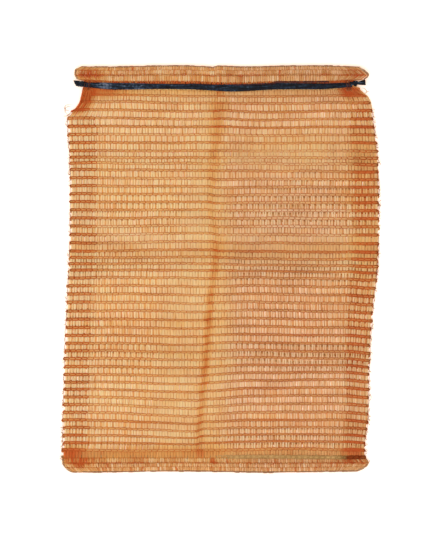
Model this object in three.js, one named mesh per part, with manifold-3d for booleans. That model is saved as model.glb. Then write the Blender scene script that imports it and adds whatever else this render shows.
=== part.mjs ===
// An empty knitted net sack for produce, lying flat on its back with its mouth towards +Y.
// Two layers of net are seamed along both sides. The chains of the knit run across the sack, one row
// after another, so the solid carries a low rib for each chain on both faces. A folded hem stands above
// a flat drawstring, which is knotted at both sides, and a thin cord runs inside the bottom fold.
// Millimetres, +Z up, origin on the floor under the middle of the sack's bounding box.
import * as THREE from "three";
import { mergeVertices } from "three/addons/utils/BufferGeometryUtils.js";
import Module from "manifold-3d";

const wasm = await Module();
wasm.setup();

// Driving dimensions. A distance down the sack is measured from the top edge of the hem.
const sack = { length: 600, rim: 4, rimThickness: 2.4, tooth: 1.3, clearance: 0.35 };

// One layer of net: how thick a chain is, and the net between two chains.
const layer = { chain: 2.0, chainHalfWidth: 1.9, between: 1.1 };

// Rows of chain from the neck to the bottom seam, closer together low down and at the packing folds. The
// first row hangs a little lower.
const rows = {
  first: 40.2, firstDrop: 2, count: 47, pitch: 12, lowFrom: 32, lowPitch: 11.39,
  foldSpread: 16, foldUnder: 0.6,
};
const folds = [
  { row: 8.5, reach: 1.6, squeeze: 7.9, rise: 1.6 },
  { row: 21.7, reach: 2.2, squeeze: 9.1, rise: 2.0 },
  { row: 33.4, reach: 1.6, squeeze: 0.8, rise: 1.6 },
];
const lengthwiseFold = { top: -10, bottom: -29, reach: 13, rise: 1.4 };

// The hem, the drawn-in neck under the drawstring and the roll below the bottom seam.
const hem = { depth: 19.4, chainAt: 13, thickness: 8.2, cornerRadius: 12 };
const neck = {
  from: 21.5, pinchedTo: 30.2, spreadFrom: 31.6, end: 36.5, under: 1.6, over: 4.4,
  sag: 2, sagIn: 50, dip: 2.4, dipAt: 18, dipReach: 70, sagFrom: 6, sagTo: 16,
};
const roll = { depth: 24, thickness: 6.6, cornerRadius: 20 };

// Each side: the hem's edge, the pinch at the knot, the length of the knot's tail, and the edge of the
// net below the pinch, as distances down and places across.
const leftSide = {
  hem: -215.5, pinch: -200.5, tail: 6.5,
  line: [[33, -202], [50, -206.5], [58.5, -209.3], [63.5, -215], [68, -221.5], [73, -224.4], [125, -222],
    [230, -221], [420, -229], [600, -233.3]],
};
const rightSide = {
  hem: 218, pinch: 193.8, tail: 13,
  line: [[33, 204], [37, 206], [42, 214.5], [50, 219.5], [60, 222], [80, 225], [125, 230.3], [205, 232.8],
    [300, 230.3], [345, 225], [427, 219], [520, 216.5], [565, 212.5], [577, 213.5], [585, 218.5], [600, 216]],
};
const seam = { width: 37, layers: 1.5, blend: 3 };

// The drawstring: a flat pleated tape along the front and another along the back, tied at both ends.
// The one along the back hangs less.
const tape = {
  width: 8.6, endWidth: 5.4, thickness: 0.9, pleat: 0.35, line: 27.2, taper: 0.12, steps: 30, backHang: 0.3,
};
const knot = {
  line: 26.2, length: 9, width: 6.8, depth: 5, z: 3.6, bandRadius: 2.6, bandThickness: 0.9, bandTilt: 0.35,
};
const tail = { root: 2.7, rootWidth: 3.6, width: 8.4, thickness: 1.2, crease: 0.5, lift: 0.6 };

// The cord inside the bottom fold, and the channel that it runs in.
const cord = { line: 575.6, width: 6.6, thickness: 1.2, past: 1.5, channelPast: 12, steps: 12 };

const finishes = {
  net: { color: 0xd9893f, roughness: 0.55, metalness: 0 },
  drawstring: { color: 0x1c2733, roughness: 0.4, metalness: 0 },
  cord: { color: 0x8c6a3c, roughness: 0.6, metalness: 0 },
};

const { lerp, smoothstep, clamp } = THREE.MathUtils;
const halfLength = sack.length / 2;

// A smooth line through a few stations, each a distance down the sack and a value.
function through(stations, distance) {
  const last = stations.length - 1;
  const slope = (k) => {
    const [d0, v0] = stations[Math.max(k - 1, 0)];
    const [d1, v1] = stations[Math.min(k + 1, last)];
    return (v1 - v0) / (d1 - d0);
  };
  const found = stations.findIndex(([d]) => d > distance);
  const k = clamp(found < 0 ? last - 1 : found - 1, 0, last - 1);
  const [d0, v0] = stations[k];
  const [d1, v1] = stations[k + 1];
  const span = d1 - d0;
  const t = clamp((distance - d0) / span, 0, 1);
  const t2 = t * t;
  const t3 = t2 * t;
  return (2 * t3 - 3 * t2 + 1) * v0 + (t3 - 2 * t2 + t) * span * slope(k)
    + (3 * t2 - 2 * t3) * v1 + (t3 - t2) * span * slope(k + 1);
}

// How far a round corner of this radius draws the edge in, at this distance from the end.
function cornerInset(fromEnd, radius) {
  const short = radius - clamp(fromEnd, 0, radius);
  return radius - Math.sqrt(radius * radius - short * short);
}

// The sack's edge on one side, at a distance down from the top of the hem.
function edge(side, distance) {
  const spread = smoothstep(distance, neck.pinchedTo, neck.spreadFrom);
  const below = lerp(side.pinch, through(side.line, distance), spread);
  const x = lerp(side.hem, below, smoothstep(distance, hem.depth, neck.from));
  const inset = cornerInset(distance, hem.cornerRadius)
    + cornerInset(sack.length - distance, roll.cornerRadius);
  return x - Math.sign(x) * inset;
}

// Where a row of chain lies, with the rows near each packing fold drawn together.
function rowLine(row) {
  const drawn = folds.reduce(
    (sum, f) => sum + f.squeeze * smoothstep(row, f.row - f.reach, f.row + f.reach), 0);
  const low = Math.max(row - rows.lowFrom, 0) * (rows.pitch - rows.lowPitch);
  const drop = rows.firstDrop * Math.max(1 - row, 0);
  return rows.first + drop + rows.pitch * row - drawn - low;
}

// The drawstring sags from its knots, dips near its middle, and takes the neck of the net with it.
function sagAt(x, distance) {
  const fromKnot = Math.min(x - leftSide.pinch, rightSide.pinch - x);
  const sag = neck.sag * smoothstep(fromKnot, 0, neck.sagIn);
  const dip = neck.dip * (1 - smoothstep(Math.abs(x - neck.dipAt), 0, neck.dipReach));
  const fromTape = Math.abs(distance - tape.line);
  return (sag + dip) * (1 - smoothstep(fromTape, neck.sagFrom, neck.sagTo));
}

// One station down the sack: where it is, how thick the net is there, and whether a chain ends in a tooth.
function station(distance, under, over, tooth = 0) {
  return { distance, under, over, tooth };
}

function hemStations() {
  const mid = hem.thickness / 2;
  const shape = [[0, 0.22], [2.5, 0.7], [6.5, 0.9], [hem.chainAt - 2, 0.92], [hem.chainAt, 1],
    [hem.chainAt + 2, 0.92], [17.2, 0.86], [hem.depth, 0.5]];
  return shape.map(([d, share]) => station(d, mid - mid * share, mid + mid * share));
}

function neckStations() {
  const middle = (neck.from + neck.pinchedTo) / 2;
  const places = [neck.from, middle, neck.pinchedTo, neck.spreadFrom, neck.end];
  return places.map((d) => station(d, neck.under, neck.over));
}

function rowStations() {
  const ribTop = 2 * layer.chain;
  const netUnder = layer.chain - layer.between;
  const found = [];
  for (let row = 0; row < rows.count; row += 1) {
    const line = rowLine(row);
    found.push(station(line - layer.chainHalfWidth, 0, ribTop, 1));
    found.push(station(line + layer.chainHalfWidth, 0, ribTop, 1));
    if (row < rows.count - 1) {
      const between = (line + rowLine(row + 1)) / 2;
      found.push(station(between, netUnder, ribTop - netUnder, -1));
    }
  }
  return found;
}

function rollStations() {
  const mid = roll.thickness / 2;
  const top = sack.length - roll.depth;
  const shape = [[0, 0.62], [5.5, 0.74], [10, 1], [13.5, 1], [18, 0.88], [22, 0.66], [roll.depth, 0.24]];
  return shape.map(([d, share]) => station(top + d, mid - mid * share, mid + mid * share));
}

// How far the net stands up from the floor at the packing folds, across and along the sack.
function foldRise(x, distance) {
  const foldX = lerp(lengthwiseFold.top, lengthwiseFold.bottom, distance / sack.length);
  const reach = lengthwiseFold.reach;
  const inBody = smoothstep(distance, neck.end, rows.first + rows.pitch)
    * (1 - smoothstep(distance, sack.length - 2 * roll.depth, sack.length - roll.depth));
  const along = lengthwiseFold.rise * (1 - smoothstep(Math.abs(x - foldX), 0, reach));
  const across = folds.reduce((sum, f) => {
    const away = Math.abs(distance - rowLine(f.row));
    return sum + f.rise * (1 - smoothstep(away, 0, rows.foldSpread));
  }, 0);
  return inBody * Math.max(along, across);
}

// Places across the sack where the surface bends, at a distance down: edges, seams, the lengthwise fold.
function columnsAt(distance, tooth) {
  const left = edge(leftSide, distance) - tooth * sack.tooth;
  const right = edge(rightSide, distance) + tooth * sack.tooth;
  const foldX = lerp(lengthwiseFold.top, lengthwiseFold.bottom, distance / sack.length);
  const leftSeam = through(leftSide.line, distance) + seam.width;
  const rightSeam = through(rightSide.line, distance) - seam.width;
  return [
    left, left + sack.rim, leftSeam - seam.blend, leftSeam + seam.blend, (leftSeam + foldX) / 2,
    foldX - lengthwiseFold.reach, foldX, foldX + lengthwiseFold.reach,
    (rightSeam + foldX) / 2, rightSeam - seam.blend, rightSeam + seam.blend, right - sack.rim, right,
  ];
}
const columnCount = columnsAt(halfLength, 0).length;
const seamColumns = new Set([1, 2, columnCount - 3, columnCount - 2]);

// A solid from a box whose grid of corners is moved by place: i across, j down, on the upper face or not.
function deformedBox(across, down, place) {
  const geometry = new THREE.BoxGeometry(1, 1, 1, across, down, 1);
  geometry.deleteAttribute("normal");
  geometry.deleteAttribute("uv");
  const merged = mergeVertices(geometry, 1e-4);
  const position = merged.getAttribute("position");
  for (let k = 0; k < position.count; k += 1) {
    const i = Math.round((position.getX(k) + 0.5) * across);
    const j = Math.round((0.5 - position.getY(k)) * down);
    position.setXYZ(k, ...place(i, j, position.getZ(k) > 0));
  }
  return merged;
}

// Booleans on closed geometries, through the solid library.
function solidOf(geometry) {
  const plain = new THREE.BufferGeometry();
  plain.setAttribute("position", geometry.getAttribute("position").clone());
  plain.setIndex(geometry.index ? geometry.index.clone() : null);
  const merged = mergeVertices(plain, 1e-4);
  return new wasm.Manifold(new wasm.Mesh({
    numProp: 3,
    vertProperties: new Float32Array(merged.getAttribute("position").array),
    triVerts: new Uint32Array(merged.index.array),
  }));
}

function geometryOf(solid) {
  const mesh = solid.getMesh();
  const geometry = new THREE.BufferGeometry();
  geometry.setAttribute("position", new THREE.BufferAttribute(new Float32Array(mesh.vertProperties), 3));
  geometry.setIndex(new THREE.BufferAttribute(new Uint32Array(mesh.triVerts), 1));
  return geometry;
}

// The net: ribbed where the chains lie, thicker over the seam allowances, with a folded hem and bottom.
function netGeometry() {
  const stations = [...hemStations(), ...neckStations(), ...rowStations(), ...rollStations()];
  const columns = stations.map((s) => columnsAt(s.distance, s.tooth));
  return deformedBox(columnCount - 1, stations.length - 1, (i, j, upper) => {
    const { distance, under, over } = stations[j];
    const x = columns[j][i];
    const inBody = distance > neck.end && distance < sack.length - roll.depth;
    const rim = inBody && (i === 0 || i === columnCount - 1);
    const thicker = inBody && seamColumns.has(i) ? seam.layers : 1;
    const middle = (under + over) / 2;
    const rise = foldRise(x, distance);
    const top = rim ? Math.min(over, middle + sack.rimThickness / 2) : over * thicker + rise;
    const bottom = rim ? Math.max(under, middle - sack.rimThickness / 2) : under + rise * rows.foldUnder;
    return [x, halfLength - distance - sagAt(x, distance), upper ? top : bottom];
  });
}

// A strip across the sack: its line down the sack, how much of the sag it follows, and its width and two
// faces at each share of its run.
function stripGeometry(fromX, toX, steps, { line, hang, width, lower, upper }) {
  const profile = [0, 0.25, 0.5, 0.75, 1];
  return deformedBox(steps, profile.length - 1, (i, j, isUpper) => {
    const t = i / steps;
    const x = lerp(fromX, toX, t);
    const distance = line + (profile[j] - 0.5) * width(t);
    const y = halfLength - distance - hang * sagAt(x, line);
    return [x, y, isUpper ? upper(t, j) : lower(t, j)];
  });
}

// A tape that is widest along its middle, narrows into its knots and has two lengthwise pleats.
function tapeGeometry(base, hang) {
  const fromX = leftSide.pinch + sack.clearance;
  const toX = rightSide.pinch - sack.clearance;
  const swell = (t) => smoothstep(Math.min(t, 1 - t), 0, tape.taper);
  const width = (t) => lerp(tape.endWidth, tape.width, swell(t));
  const lower = () => base;
  const upper = (t, j) => base + tape.thickness + (j % 2 === 1 ? tape.pleat * swell(t) : 0);
  return stripGeometry(fromX, toX, tape.steps, { line: tape.line, hang, width, lower, upper });
}

// A tight overhand knot: a rounded lump, a band bound round it, and one flared, cut tail.
function knotGeometry(towards, side) {
  const lump = new THREE.SphereGeometry(0.5, 14, 10);
  lump.scale(knot.length, knot.width, knot.depth);
  const band = new THREE.TorusGeometry(knot.bandRadius, knot.bandThickness, 6, 16);
  band.rotateY(Math.PI / 2);
  band.rotateZ(knot.bandTilt * towards);
  const steps = 4;
  const flared = deformedBox(steps, 2, (i, j, upper) => {
    const share = towards > 0 ? i / steps : 1 - i / steps;
    const half = lerp(tail.rootWidth, tail.width, smoothstep(share, 0, 1)) / 2;
    const middle = j === 1 ? tail.crease : 0;
    return [
      towards * (tail.root + side.tail * share),
      (1 - j) * half + tail.lift * share,
      middle + (upper ? tail.thickness : -tail.thickness) / 2,
    ];
  });
  const joined = solidOf(lump).add(solidOf(band)).add(solidOf(flared));
  const geometry = geometryOf(joined);
  const x = side.pinch + towards * (knot.length / 2 + sack.clearance);
  geometry.translate(x, halfLength - knot.line, knot.z);
  return geometry;
}

// The flat cord in the bottom fold, or its channel: larger all round, and past both sides of the sack.
function cordGeometry(extra, past) {
  const middle = roll.thickness / 2;
  const half = cord.thickness / 2 + extra;
  const fromX = edge(leftSide, cord.line) - past;
  const toX = edge(rightSide, cord.line) + past;
  return stripGeometry(fromX, toX, cord.steps, {
    line: cord.line,
    hang: 1,
    width: () => cord.width + 2 * extra,
    lower: () => middle - half,
    upper: () => middle + half,
  });
}

const sackGroup = new THREE.Group();

function addPart(name, geometry, finish) {
  geometry.computeVertexNormals();
  const mesh = new THREE.Mesh(geometry, new THREE.MeshStandardMaterial(finish));
  mesh.name = name;
  sackGroup.add(mesh);
}

const frontTapeBase = neck.over + sack.clearance;
const backTapeBase = neck.under - sack.clearance - tape.thickness - tape.pleat;
const channel = cordGeometry(sack.clearance, cord.channelPast);
const net = geometryOf(solidOf(netGeometry()).subtract(solidOf(channel)));

addPart("net_sack", net, finishes.net);
addPart("drawstring_front", tapeGeometry(frontTapeBase, 1), finishes.drawstring);
addPart("drawstring_back", tapeGeometry(backTapeBase, tape.backHang), finishes.drawstring);
addPart("knot_left", knotGeometry(-1, leftSide), finishes.drawstring);
addPart("knot_right", knotGeometry(1, rightSide), finishes.drawstring);
addPart("bottom_cord", cordGeometry(0, cord.past), finishes.cord);

export default sackGroup;
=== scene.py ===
import math

import bmesh
import bpy
import numpy as np
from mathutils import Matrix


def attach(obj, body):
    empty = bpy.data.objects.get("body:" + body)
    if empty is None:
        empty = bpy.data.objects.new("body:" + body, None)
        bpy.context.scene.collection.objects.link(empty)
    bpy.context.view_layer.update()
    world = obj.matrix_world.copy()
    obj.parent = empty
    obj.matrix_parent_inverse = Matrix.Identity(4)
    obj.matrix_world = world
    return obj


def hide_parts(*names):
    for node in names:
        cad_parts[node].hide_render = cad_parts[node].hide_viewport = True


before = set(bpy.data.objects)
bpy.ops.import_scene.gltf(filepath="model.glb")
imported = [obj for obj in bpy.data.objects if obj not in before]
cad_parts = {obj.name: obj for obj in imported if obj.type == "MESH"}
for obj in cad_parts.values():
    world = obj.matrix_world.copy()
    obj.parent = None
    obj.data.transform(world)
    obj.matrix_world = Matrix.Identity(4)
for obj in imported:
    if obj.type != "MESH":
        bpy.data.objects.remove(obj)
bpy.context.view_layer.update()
mm = 0.001  # the script works in millimetres and the scene in metres
scene = bpy.context.scene

# the flat sack, the same as the solids have; a distance is measured down from the top of the hem
sack = {
    "length": 600.0, "rollCorner": 20.0, "hemToNeck": (19.4, 21.5), "neckSpread": (30.2, 31.6),
    "neckEnd": 36.5, "tapeLine": 27.2, "sag": 2.0, "sagIn": 50.0, "sagFade": (6.0, 16.0),
    "dip": 2.4, "dipAt": 18.0, "dipReach": 70.0,
    "leftSeam": [(84, 43), (250, 40.5), (570, 34)], "rightSeam": 38.0, "seamFade": 0.006,
    "neckSeam": 15.0, "seamGrow": (52.0, 84.0),
}
leftSide = {
    "hemLine": [(0, -203), (3, -210), (8, -214.5), (14, -214), (19.4, -211)], "pinch": -200.5,
    "line": [(33, -202), (50, -206.5), (58.5, -209.3), (63.5, -215), (68, -221.5), (73, -224.2), (80, -224.5),
             (100, -223.4), (125, -222), (230, -221), (420, -229), (600, -233.3)],
}
rightSide = {
    "hemLine": [(0, 204), (6, 211.5), (13, 218.5), (16, 216.5), (19.4, 211)], "pinch": 193.8,
    "line": [(33, 204), (37, 206), (42, 214.5), (50, 219.5), (60, 222), (80, 225), (125, 230.3), (205, 232.8),
             (300, 230.3), (345, 225), (427, 219), (520, 216.5), (565, 212.5), (577, 213.5), (585, 218.5),
             (600, 216)],
}
rows = {"first": 40.2, "firstDrop": 2.0, "count": 47, "pitch": 12.0, "lowFrom": 32, "lowPitch": 11.39,
        "foldSpread": 16.0}
packFolds = [  # where the sack was folded for packing, by row
    {"row": 8.5, "reach": 1.6, "squeeze": 7.9, "rise": 1.6},
    {"row": 21.7, "reach": 2.2, "squeeze": 9.1, "rise": 2.0},
    {"row": 33.4, "reach": 1.6, "squeeze": 0.8, "rise": 1.6},
]
halves = (-40.0, 40.0)  # x between which the left half's colours turn into the right half's


def smoothStep(value, low, high):
    t = np.clip((value - low) / (high - low), 0.0, 1.0)
    return t * t * (3.0 - 2.0 * t)


def fadeOut(value, low, high):
    return 1.0 - smoothStep(value, low, high)


def bump(value, middle, reach):
    return fadeOut(np.abs(value - middle), 0.0, reach)


def blend(start, end, share):
    return start + (end - start) * share


def sideBlend(x, left, right):
    return blend(left, right, smoothStep(x, *halves))


def draws(random, size, count):
    return size * random.standard_normal(count)


def byTurns(count, first=0):  # 1 and -1 by turns
    return np.where((np.arange(count) + first) % 2 == 0, 1.0, -1.0)


def flip(value):  # the y of a distance, or the distance of a y
    return sack["length"] / 2 - value


def placeOf(placed):  # x and distance of placed points
    return placed[..., 0], flip(placed[..., 1])


def levelAt(points, value):  # straight from point to point
    return np.interp(value, *np.array(points, float).T)


def through(points, distance):  # a smooth line through a few (distance, value) points
    at, value = np.array(points, float).T
    slope = np.gradient(value, at)
    k = np.clip(np.searchsorted(at, distance, side="right") - 1, 0, len(at) - 2)
    span = at[k + 1] - at[k]
    t = np.clip((distance - at[k]) / span, 0.0, 1.0)
    start = (2 * t ** 3 - 3 * t ** 2 + 1) * value[k] + (t ** 3 - 2 * t ** 2 + t) * span * slope[k]
    end = (3 * t ** 2 - 2 * t ** 3) * value[k + 1] + (t ** 3 - t ** 2) * span * slope[k + 1]
    return start + end


def edgeLine(side, distance):  # the sack's edge on one side
    below = blend(side["pinch"], through(side["line"], distance), smoothStep(distance, *sack["neckSpread"]))
    line = blend(through(side["hemLine"], distance), below, smoothStep(distance, *sack["hemToNeck"]))
    corner = sack["rollCorner"]
    short = corner - np.clip(sack["length"] - distance, 0.0, corner)
    return line - np.sign(line) * (corner - np.sqrt(corner ** 2 - short ** 2))


def fromEdges(x, distance):  # how far inside the left edge and the right edge
    return x - edgeLine(leftSide, distance), edgeLine(rightSide, distance) - x


# the net as it is knitted, with straight edges; near them it is drawn in or let out to the sack's outline
knit = {"left": -226.0, "right": 226.0, "reach": 75.0, "rounds": 6}
knitWidth = knit["right"] - knit["left"]


def knitX(u):
    return knit["left"] + knitWidth * u


def edgeShift(x, distance):
    left = (edgeLine(leftSide, distance) - knit["left"]) * fadeOut(x - knit["left"], 0.0, knit["reach"])
    right = (edgeLine(rightSide, distance) - knit["right"]) * fadeOut(knit["right"] - x, 0.0, knit["reach"])
    return left + right


def uAt(x, distance):  # the share of the width at which the net meets x
    knitted = x
    for _ in range(knit["rounds"]):
        knitted = x - edgeShift(knitted, distance)
    return (knitted - knit["left"]) / knitWidth


def rowLine(row):  # distance of a row of chain, drawn together at the packing folds
    drawn = np.maximum(row - rows["lowFrom"], 0.0) * (rows["pitch"] - rows["lowPitch"])
    for fold in packFolds:
        passed = smoothStep(row, fold["row"] - fold["reach"], fold["row"] + fold["reach"])
        drawn = drawn + fold["squeeze"] * passed
    return rows["first"] + rows["firstDrop"] * np.maximum(1.0 - row, 0.0) + rows["pitch"] * row - drawn


rowLines = [float(rowLine(float(row))) for row in range(rows["count"])]


def seamReach(distance, atRight):  # width of a turned-in side strip as a share of the sack's width
    full = sack["rightSeam"] if atRight else through(sack["leftSeam"], distance)
    return blend(sack["neckSeam"], full, smoothStep(distance, *sack["seamGrow"])) / knitWidth


def seamShare(u, distance):  # 1 in the side strips and 0 between them
    left, right = seamReach(distance, False), seamReach(distance, True)
    return fadeOut(u, left - sack["seamFade"], left) + fadeOut(1.0 - u, right - sack["seamFade"], right)


def sagAt(x):  # how far the drawstring hangs at x: from its knots, and in a dip near its middle
    fromKnot = np.minimum(x - leftSide["pinch"], rightSide["pinch"] - x)
    sag = sack["sag"] * smoothStep(fromKnot, 0.0, sack["sagIn"])
    return sag + sack["dip"] * bump(x, sack["dipAt"], sack["dipReach"])


# the lengthwise crease, from hem to bottom: its line, how deep its colour is and how wide, all by distance
crease = {
    "line": [(20, -3), (62, -2), (101, -6), (171, -12.5), (225, -12), (262, -6), (330, -13.5), (462, -24),
             (521, -30), (600, -31.5)],
    "depth": [(40, 0.4), (101, 0.36), (171, 0.23), (225, 0.2), (262, 0.31), (330, 0.46), (384, 0.52),
              (521, 0.46), (570, 0.27)],
    "reach": [(40, 22), (120, 15), (200, 11), (300, 9), (600, 9)],
    "fleck": 0.3, "fleckLengths": (3.1, 7.3), "wiggle": 0.9, "wiggleLength": 4.3,
    "passes": 0.75,  # passes have less of the depth
}


def foldLine(distance):
    return through(crease["line"], distance)


# how the flattened sack stands off the floor, hem to bottom: middle height and half thickness
section = {
    "at": [0, 1.5, 5, 9, 13, 16.5, 19.5, 22, 35, 40, 560, 568, 576, 585, 592, 597, 600],
    "middle": [4.1, 4.1, 4.1, 4.1, 4.1, 4.0, 3.6, 3.0, 3.0, 2.5, 2.1, 2.4, 3.1, 3.4, 3.4, 3.3, 3.3],
    "half": [0.2, 1.5, 2.5, 2.9, 3.0, 2.7, 2.0, 1.2, 1.2, 1.1, 1.0, 1.2, 1.7, 2.3, 2.0, 1.2, 0.2],
}
layers = {  # each layer of net lies a little differently: waves as size, length across, length down, phase
    "front": {"side": 1.0, "waves": [(0.3, 170, 330, 0.45), (0.15, 61, 150, 0.7)]},
    "back": {"side": -1.0, "waves": [(0.6, 210, 260, 0.05), (0.4, 75, 120, 0.3)]},
    "seamFront": {"side": 0.42, "waves": [(0.5, 90, 210, 0.2), (0.4, 50, 170, 0.6)]},
    "seamBack": {"side": -0.38, "waves": [(0.5, 80, 260, 0.8), (0.4, 45, 140, 0.1)]},
    "hemInner": {"side": 0.5, "waves": [(0.6, 150, 90, 0.3)]},
    "rollInner": {"side": 0.5, "waves": [(0.6, 130, 90, 0.9)]},
}
rowDrift = {  # how far down the rows hang, by distance, at five columns from left to right
    "left": [(40, -0.2), (90, 0.4), (175, 0), (225, -0.7), (272, 0), (335, 0), (385, 1.5), (418, 0.6),
             (454, 2.2), (480, 1.1), (522, 1.1), (565, -0.5)],
    "before": [(40, 3), (64, 2.4), (111, 0.4), (152, 1.3), (199, -0.2), (272, -2.1), (291, -0.3), (335, 1.6),
               (385, 2.9), (430, 3.2), (475, 5.5), (499, 6.8), (530, 6.2), (565, 1)],
    "past": [(40, 2.5), (64, 1.6), (111, 0.6), (133, 0.8), (152, 2.5), (175, 3), (223, 0), (272, 0), (310, 0.9),
             (347, 1), (408, 0.7), (454, 3), (499, 4.2), (522, 3), (565, -1)],
    "middle": [(40, 3.5), (75, 3.2), (111, 1.2), (133, 0.3), (152, 1.5), (199, 0.6), (223, -0.4), (262, 0.2),
               (281, 1.8), (292, 2.2), (310, 0.4), (347, 0.3), (408, -0.5), (454, -1), (499, -0.2), (522, 0.8),
               (544, -0.8), (565, -3)],
    "right": [(40, 1.9), (88, 1.5), (111, 0.8), (130, 1), (152, 3), (175, 1.8), (223, 0.2), (262, 0.8),
              (281, 2.2), (292, 2.8), (310, 1.8), (359, 2), (408, 1.4), (418, 1.9), (454, -1.2), (475, -1.4),
              (522, 0.8), (544, -0.8), (565, -3)],
    "leftAt": -175.0, "turnFrom": -7.0, "turnTo": 6.0, "middleAt": 45.0, "rightAt": 161.0,
    "edge": 2.6, "edgeFrom": (185.0, 220.0), "edgeBelow": (240.0, 320.0),
}
backDrift = {  # the back's rows hang lower in places: middle, reach and drift
    "bumps": [(208, 70, 3.8), (290, 44, 4.6), (425, 40, 5.2), (555, 50, 3.8)], "even": 0.75, "length": 90.0,
}
lie = {
    "quietFrom": (14.0, 60.0), "quietTo": (556.0, 580.0), "bodyFrom": (40.0, 60.0), "bodyTo": (560.0, 590.0),
    "creaseReach": 11.0, "creaseDraw": 0.18, "creaseRise": 1.4, "innerRise": 0.8,
    "hemWave": 0.9, "hemWaveLength": 31.0, "hemWavePhase": 0.6, "hemWaveTo": 24.0,
    "hemStep": 2.2, "hemStepAt": -6.6, "hemStepTurn": 3.0, "hemStepReach": 14.0,
    "diveLine": 576.5, "dive": 2.3, "diveReach": 9.0, "diveFrom": (-30.0, 40.0),
    "rollWave": 0.8, "rollWaveLength": 43.0, "rollWavePhase": 3.0, "rollDraw": 2.5, "rollWaveFrom": 574.0,
    "shift": 0.9, "floor": 0.06,
}


def driftAt(x, distance):
    fold = foldLine(distance)
    at = [rowDrift["leftAt"], fold + rowDrift["turnFrom"], fold + rowDrift["turnTo"], rowDrift["middleAt"],
          rowDrift["rightAt"]]
    value = [through(rowDrift[column], distance) for column in ("left", "before", "past", "middle", "right")]
    drift = value[0]
    for k in range(len(at) - 1):
        drift = drift + (value[k + 1] - value[k]) * smoothStep(x, at[k], at[k + 1])
    below = smoothStep(distance, *rowDrift["edgeBelow"])
    return drift + rowDrift["edge"] * smoothStep(x, *rowDrift["edgeFrom"]) * below


def layAt(u, distance, layer, lift=0.0):  # the place of a point of the net: u across from left to right
    x = knitX(u)
    x = x + edgeShift(x, distance)
    fromFold = x - foldLine(distance)
    near = np.exp(-(fromFold / lie["creaseReach"]) ** 2)
    inBody = smoothStep(distance, *lie["bodyFrom"]) * fadeOut(distance, *lie["bodyTo"])
    x = x - lie["creaseDraw"] * inBody * fromFold * near
    side = layers[layer]["side"]
    wave = driftAt(x, distance)
    for size, across, along, phase in layers[layer]["waves"]:
        wave = wave + size * np.sin(2 * math.pi * (x / across + distance / along + phase))
    if side < 0:
        for middle, reach, drift in backDrift["bumps"]:
            uneven = blend(backDrift["even"], 1.0, np.sin(x / backDrift["length"]))
            wave = wave + drift * bump(distance, middle, reach) * uneven
    quiet = smoothStep(distance, *lie["quietFrom"]) * fadeOut(distance, *lie["quietTo"])
    sag = sagAt(x) * fadeOut(np.abs(distance - sack["tapeLine"]), *sack["sagFade"])
    fromStep = x - lie["hemStepAt"]
    step = np.tanh(fromStep / lie["hemStepTurn"]) * np.exp(-np.abs(fromStep) / lie["hemStepReach"])
    hemWave = lie["hemWave"] * np.sin(x / lie["hemWaveLength"] + lie["hemWavePhase"]) - lie["hemStep"] * step
    hemWave = hemWave * fadeOut(distance, 0.0, lie["hemWaveTo"])
    rollWave = lie["rollDraw"] + lie["rollWave"] * np.sin(x / lie["rollWaveLength"] + lie["rollWavePhase"])
    rollWave = rollWave * smoothStep(distance, lie["rollWaveFrom"], sack["length"])
    y = flip(distance) - sag - wave * quiet - hemWave + rollWave - lie["shift"]
    middle, half = (np.interp(distance, section["at"], section[key]) for key in ("middle", "half"))
    rise = lie["creaseRise"] * inBody * near
    for fold in packFolds:
        folded = fold["rise"] * bump(distance, rowLine(fold["row"]), rows["foldSpread"])
        rise = np.maximum(rise, inBody * folded)
    rise = rise * blend(lie["innerRise"], 1.0, side)
    z = middle + half * side + rise + np.sign(side) * lift  # a lift goes away from the inside
    if side > 0:  # the front passes under the closing cord over part of its run
        under = bump(distance, lie["diveLine"], lie["diveReach"]) * smoothStep(x, *lie["diveFrom"])
        z = z - lie["dive"] * under
    return np.stack([x, y, np.maximum(z, lie["floor"])], axis=-1)


def templateOf(bm):  # a small bmesh of quads as arrays, and the bmesh is freed
    bmesh.ops.recalc_face_normals(bm, faces=bm.faces)
    bm.verts.index_update()
    points = np.array([v.co[:] for v in bm.verts])
    quads = np.array([[v.index for v in f.verts] for f in bm.faces])
    bm.free()
    return points, quads


def barTemplate(cuts):  # a bar of quads along x, one unit each way, cut across
    bm = bmesh.new()
    bmesh.ops.create_cube(bm, size=1.0)
    lengthwise = [e for e in bm.edges if abs(e.verts[0].co.x - e.verts[1].co.x) > 0.5]
    bmesh.ops.subdivide_edges(bm, edges=lengthwise, cuts=cuts, use_grid_fill=True)
    return templateOf(bm)


def addObject(name, data):
    made = bpy.data.objects.new(name, data)
    scene.collection.objects.link(made)
    return made


def smoothObject(name, mesh):
    mesh.polygons.foreach_set("use_smooth", np.ones(len(mesh.polygons), bool))
    return addObject(name, mesh)


def setAttribute(mesh, name, values):
    attribute = mesh.attributes.new(name, "FLOAT", "POINT")
    attribute.data.foreach_set("value", values.reshape(-1).astype(np.float32))


def joinCopies(name, quads, placed, tone):  # one mesh from many placed copies of a template
    copies, count = placed.shape[:2]
    faces = (quads[None, :, :] + count * np.arange(copies)[:, None, None]).reshape(-1, 4)
    mesh = bpy.data.meshes.new(name)
    mesh.vertices.add(copies * count)
    mesh.vertices.foreach_set("co", (placed.reshape(-1) * mm).astype(np.float32))
    mesh.loops.add(faces.size)
    mesh.loops.foreach_set("vertex_index", faces.reshape(-1).astype(np.int32))
    mesh.polygons.add(len(faces))
    mesh.polygons.foreach_set("loop_start", np.arange(0, faces.size, 4, dtype=np.int32))
    mesh.update(calc_edges=True)
    mesh.validate()
    setAttribute(mesh, "tone", np.broadcast_to(tone, (copies, count)))
    setAttribute(mesh, "rosy", rosyAt(placed))
    return smoothObject(name, mesh)


def gather(parts):  # several placed sets that share one template
    return np.concatenate([placed for placed, _ in parts]), parts[0][1]


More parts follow.
